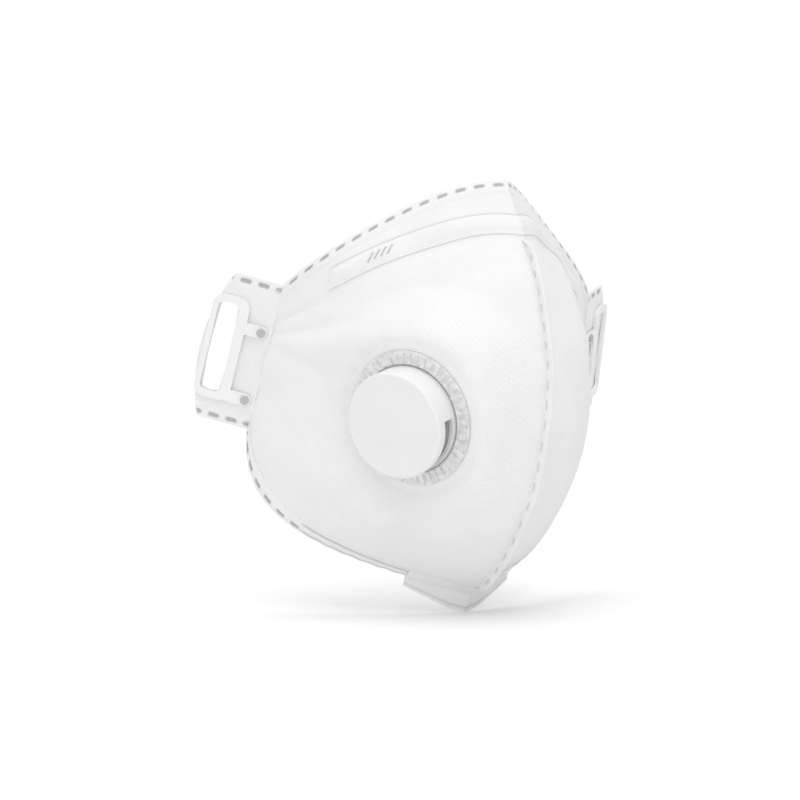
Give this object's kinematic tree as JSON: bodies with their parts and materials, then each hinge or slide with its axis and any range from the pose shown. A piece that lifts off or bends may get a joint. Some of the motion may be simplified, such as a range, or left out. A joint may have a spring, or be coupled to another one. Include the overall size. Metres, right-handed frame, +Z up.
{
  "type": "valved filtering half mask",
  "caption": "White fold-flat dust mask with a centre seam, nose clip, slotted ears for a head strap and a round exhalation valve.",
  "frame": {"origin": "centre of the oval where the mask meets the face, in the fold plane", "axes": "+Z up towards the nose, -Y forwards away from the face, +X to the wearer's left; the valve is on the wearer's right"},
  "size_m": [0.164, 0.0889, 0.1423],
  "materials": {
    "spunbond_white": "matt nonwoven with small bond points",
    "spunbond_weld": "pressed nonwoven, slightly glossy in the weld",
    "support_fleece": "fluffy fleece",
    "filter_web": "fine blown web",
    "lining_soft": "smooth soft nonwoven",
    "clip_strip": "white coated bendable strip",
    "nose_foam": "open-cell foam",
    "buckle_plastic": "white moulded plastic",
    "valve_plastic": "white moulded plastic, satin",
    "weld_ring": "pressed and melted fibre",
    "flap_silicone": "thin translucent silicone"
  },
  "bodies": {
    "centre": {"centre_seam": "spunbond_weld", "chin_tab": "spunbond_white", "nose_clip": "clip_strip", "nose_foam": "nose_foam"},
    "right_half": {"outer_cover_right": "spunbond_white", "support_layer_right": "support_fleece", "filter_layer_right": "filter_web", "inner_lining_right": "lining_soft", "top_hem_right": "spunbond_weld", "lower_hem_right": "spunbond_weld", "valve_cap": "valve_plastic", "valve_seat": "valve_plastic", "flap_retainer": "valve_plastic", "valve_weld_ring": "weld_ring"},
    "right_ear": {"ear_flap_right": "spunbond_white", "strap_buckle_right": "buckle_plastic", "buckle_studs_right": "buckle_plastic"},
    "left_half": {"outer_cover_left": "spunbond_white", "support_layer_left": "support_fleece", "filter_layer_left": "filter_web", "inner_lining_left": "lining_soft", "top_hem_left": "spunbond_weld", "lower_hem_left": "spunbond_weld"},
    "left_ear": {"ear_flap_left": "spunbond_white", "strap_buckle_left": "buckle_plastic", "buckle_studs_left": "buckle_plastic"},
    "valve_flap": {"valve_flap": "flap_silicone"}
  },
  "joints": [
    {"name": "fold_right", "type": "hinge", "parent": "centre", "child": "right_half", "pos_m": [0, -0.05344, 0], "axis": [0, 0, -1], "range_deg": [-5, 20], "stiffness_Nm_per_rad": 0.02, "deforming": ["outer_cover_right", "support_layer_right", "filter_layer_right", "inner_lining_right", "top_hem_right", "lower_hem_right", "chin_tab", "nose_clip", "nose_foam"]},
    {"name": "fold_left", "type": "hinge", "parent": "centre", "child": "left_half", "pos_m": [0, -0.05344, 0], "axis": [0, 0, 1], "range_deg": [-5, 20], "stiffness_Nm_per_rad": 0.02, "deforming": ["outer_cover_left", "support_layer_left", "filter_layer_left", "inner_lining_left", "top_hem_left", "lower_hem_left"]},
    {"name": "ear_fold_right", "type": "hinge", "parent": "right_half", "child": "right_ear", "pos_m": [-0.0635, 0.015, 0.0095], "axis": [-0.1014, 0.284, -0.9534], "range_deg": [-30, 45], "stiffness_Nm_per_rad": 0.01},
    {"name": "ear_fold_left", "type": "hinge", "parent": "left_half", "child": "left_ear", "pos_m": [0.0635, 0.015, 0.0095], "axis": [-0.1014, -0.284, 0.9534], "range_deg": [-30, 45], "stiffness_Nm_per_rad": 0.01},
    {"name": "flap_open", "type": "hinge", "parent": "right_half", "child": "valve_flap", "pos_m": [-0.03862, -0.03111, 0.00119], "axis": [-0.4384, 0.8988, 0], "range_deg": [0, 14], "stiffness_Nm_per_rad": 0.0005, "springref_deg": -8.59}
  ],
  "couplings": [
    {"joint": "fold_left", "follows": "fold_right", "ratio": 1}
  ]
}
